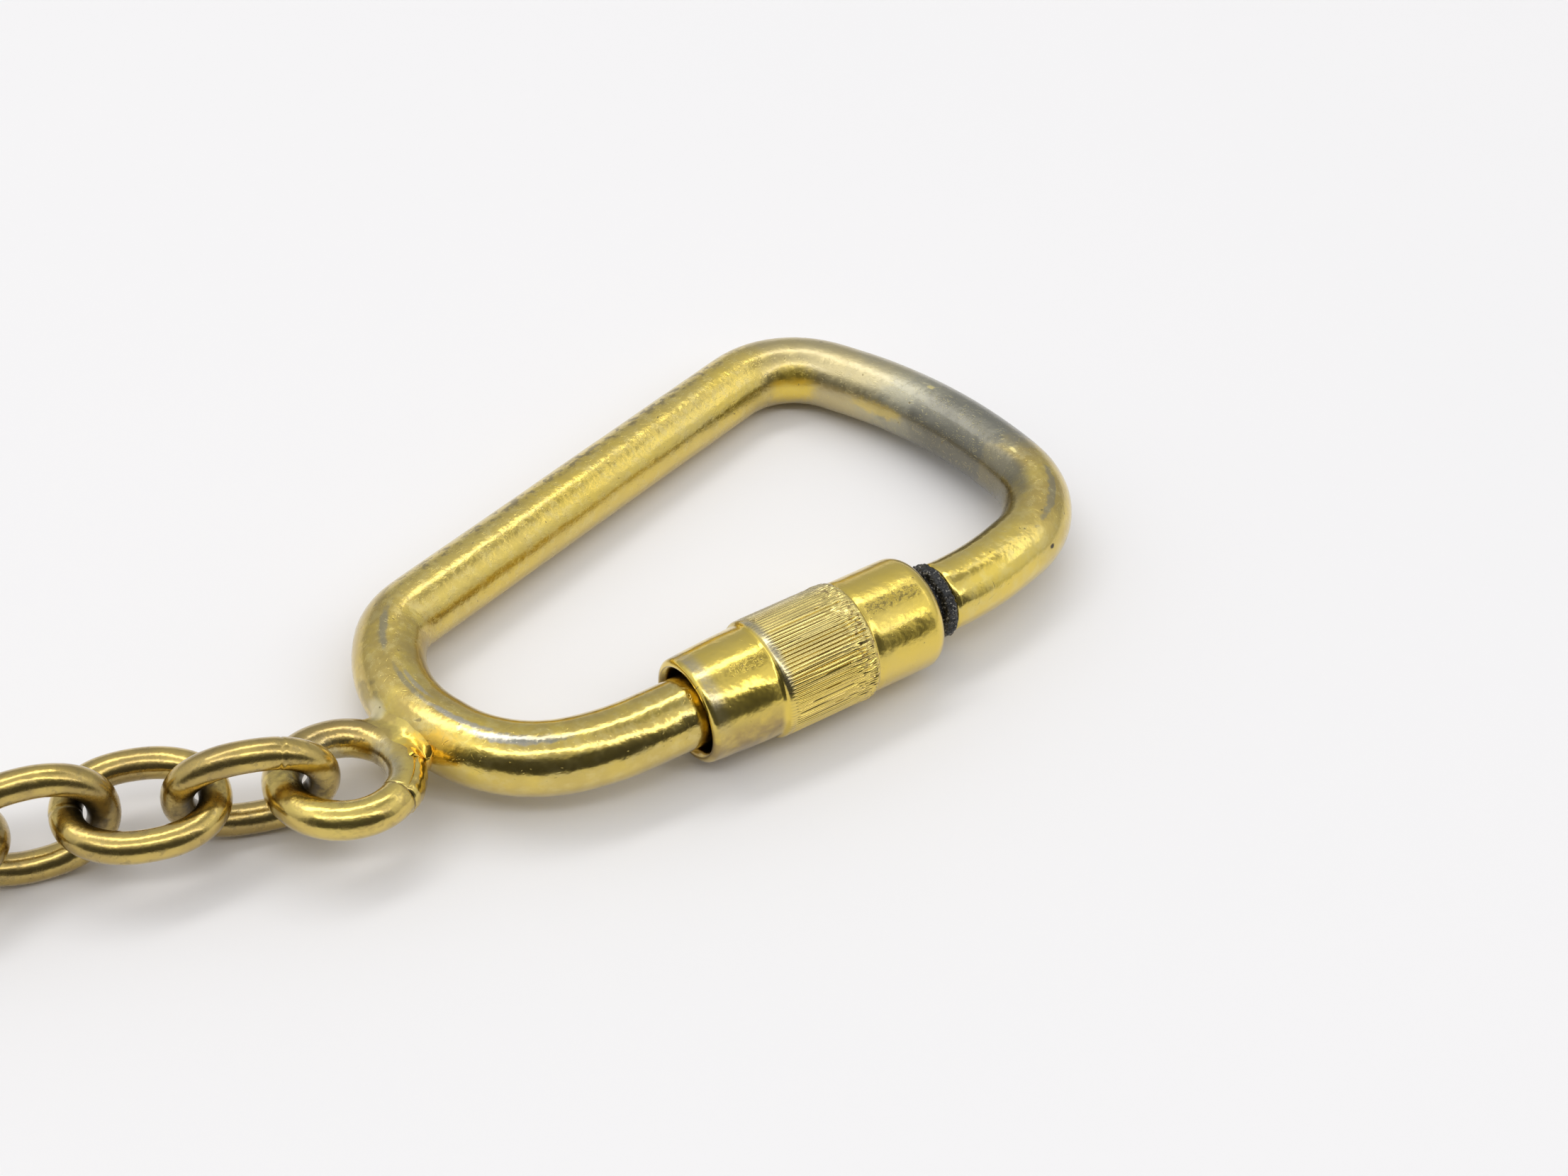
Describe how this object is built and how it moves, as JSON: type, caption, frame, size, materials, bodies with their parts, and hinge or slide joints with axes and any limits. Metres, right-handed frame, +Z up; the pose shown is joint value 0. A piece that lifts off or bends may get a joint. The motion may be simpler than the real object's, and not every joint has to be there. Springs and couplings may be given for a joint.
{
  "type": "screw-gate key ring with chain",
  "caption": "D-shaped screw-gate key ring of round brass rod with a knurled locking sleeve, a brazed wire eye and a run of oval chain links.",
  "frame": {"origin": "Middle of the footprint on the table, at the ring's lowest point", "axes": "+X along the sleeve's axis from its mouth to the stop ring, +Y from the sleeve to the back bar, +Z up from the table"},
  "size_m": [0.0764, 0.0264, 0.007],
  "materials": {
    "gold_plate": "polished",
    "worn_gold_plate": "polished, worn",
    "antique_gold": "antique polished",
    "black_rubber": "glossy"
  },
  "bodies": {
    "ring": {"bow": "gold_plate", "chain_eye": "worn_gold_plate", "stop_ring": "black_rubber"},
    "sleeve": {"gate_sleeve": "gold_plate"},
    "link_1": {"chain_link_1": "antique_gold"},
    "link_2": {"chain_link_2": "antique_gold"},
    "link_3": {"chain_link_3": "antique_gold"},
    "link_4": {"chain_link_4": "antique_gold"},
    "link_5": {"chain_link_5": "antique_gold"}
  },
  "joints": [
    {"name": "gate_slide", "type": "slide", "parent": "ring", "child": "sleeve", "axis": [-1, 0, 0], "range_m": [0, 0.005]},
    {"name": "link_1_swing", "type": "hinge", "parent": "ring", "child": "link_1", "pos_m": [-0.01112, -0.00356, 0.00337], "axis": [-0.3839, -0.9045, 0.1857], "range_deg": [-75, 75]},
    {"name": "link_2_swing", "type": "hinge", "parent": "link_1", "child": "link_2", "pos_m": [-0.01612, -0.00196, 0.00353], "axis": [-0.0107, -0.0332, 0.9994], "range_deg": [-55, 75]},
    {"name": "link_3_swing", "type": "hinge", "parent": "link_2", "child": "link_3", "pos_m": [-0.02133, -0.00019, 0.00353], "axis": [-0.3221, -0.9461, 0.0349], "range_deg": [-70, 70]},
    {"name": "link_4_swing", "type": "hinge", "parent": "link_3", "child": "link_4", "pos_m": [-0.02669, 0.00101, 0.00347], "axis": [0.0461, 0.2062, 0.9774], "range_deg": [-75, 75]},
    {"name": "link_5_swing", "type": "hinge", "parent": "link_4", "child": "link_5", "pos_m": [-0.03206, 0.00221, 0.00347], "axis": [-0.2134, -0.9546, 0.2079], "range_deg": [-75, 75]}
  ]
}
